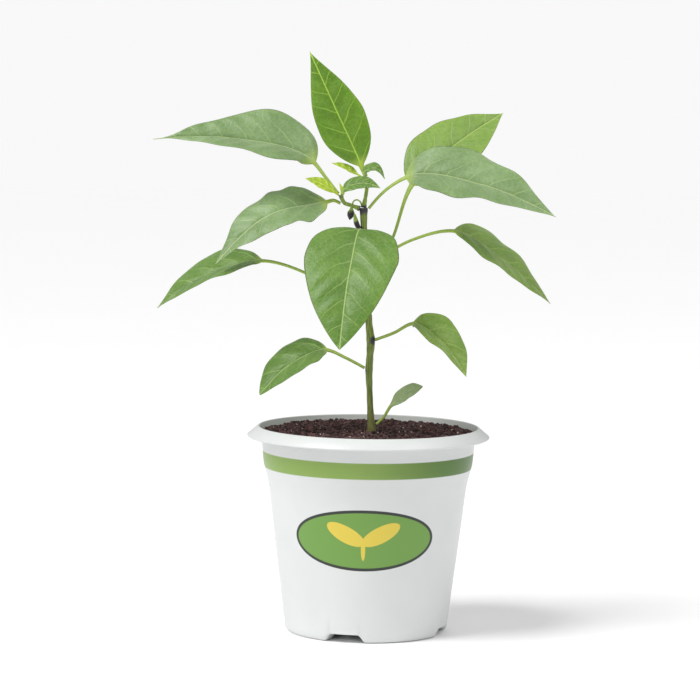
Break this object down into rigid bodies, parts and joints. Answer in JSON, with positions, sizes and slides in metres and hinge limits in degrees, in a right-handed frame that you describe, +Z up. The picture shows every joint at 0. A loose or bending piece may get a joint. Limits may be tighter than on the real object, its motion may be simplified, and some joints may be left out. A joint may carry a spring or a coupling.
{
  "type": "potted chilli pepper plant",
  "caption": "Young chilli pepper plant with broad arching leaves on a slim stem, growing in soil in a round tapered nursery pot with a rolled lip and a green band.",
  "frame": {"origin": "on the pot's axis, at the flat disc in the middle of the pot's underside, on the resting plane", "axes": "+Z up along the pot's axis, +X to the right seen from the front, -Y towards the viewer at the front; the front leaf droops towards -Y"},
  "size_m": [0.188, 0.1144, 0.273],
  "materials": {
    "pot": "white injection-moulded polypropylene, satin, with a green band under the lip",
    "soil": "damp dark peat compost with pale grit and red-brown fibres",
    "stem": "satin olive-green stem, brownish near the soil, dark purple at the nodes",
    "branch": "satin light green young branch",
    "leaf": "waxy mid-green leaf with pale veins and a soft grey-green sheen",
    "young_leaf": "soft yellow-green young leaf",
    "bud": "dark purple-green bud, satin"
  },
  "bodies": {
    "root": {"pot": "pot", "potting_soil": "soil", "main_stem": "stem", "left_branch": "branch", "top_branch": "branch", "crown_bud": "bud", "side_shoot": "bud", "shoot_tip": "young_leaf", "leaf_top": "leaf", "leaf_upper_left": "leaf", "leaf_branch_left": "leaf", "leaf_back_right": "leaf", "leaf_fork_right": "leaf", "leaf_middle_right": "leaf", "leaf_front": "leaf", "leaf_middle_left": "leaf", "leaf_lower_left": "leaf", "leaf_lower_right": "leaf", "seed_leaf": "leaf", "young_leaf_left": "young_leaf", "young_leaf_front": "young_leaf", "young_leaf_right": "young_leaf", "young_leaf_behind": "young_leaf"}
  },
  "joints": []
}
